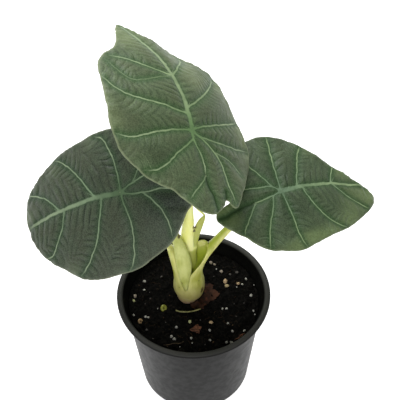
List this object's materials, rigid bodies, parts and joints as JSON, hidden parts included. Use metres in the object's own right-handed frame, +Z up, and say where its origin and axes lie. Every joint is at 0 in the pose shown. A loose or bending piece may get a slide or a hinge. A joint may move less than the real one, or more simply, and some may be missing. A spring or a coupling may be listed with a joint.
{
  "type": "potted maharani alocasia",
  "caption": "Young alocasia with large shield-shaped grey-green leaves on pale arching stalks, rooted in potting mix in a round black nursery pot.",
  "frame": {"origin": "centre of the flat underside of the pot, on the surface that it stands on", "axes": "+Z up through the pot's axis, +X to the right and -Y towards the viewer as the plant is pictured, with one leaf to the left, one to the right and the tallest leaf pointing back"},
  "size_m": [0.2477, 0.1678, 0.2639],
  "materials": {
    "pot_plastic": "satin, moulded",
    "potting_mix": "rough, moist, dark, with pale perlite",
    "corm_skin": "matte, fibrous",
    "stalk": "smooth, fleshy, satin",
    "young_stalk": "smooth, fleshy, translucent",
    "leaf": "leathery, with sunken pale veins",
    "dried_sheath": "papery, crumpled, dry",
    "bark": "rough, broken",
    "strand": "smooth, fading"
  },
  "bodies": {
    "root": {"pot": "pot_plastic", "soil": "potting_mix", "corm": "corm_skin", "petiole_right": "stalk", "petiole_left": "stalk", "petiole_top": "young_stalk", "blade_right": "leaf", "blade_left": "leaf", "blade_top": "leaf", "dried_sheath": "dried_sheath", "bark_chip_middle": "bark", "bark_chip_rim": "bark", "dry_strand": "bark", "green_strand": "strand"}
  },
  "joints": []
}
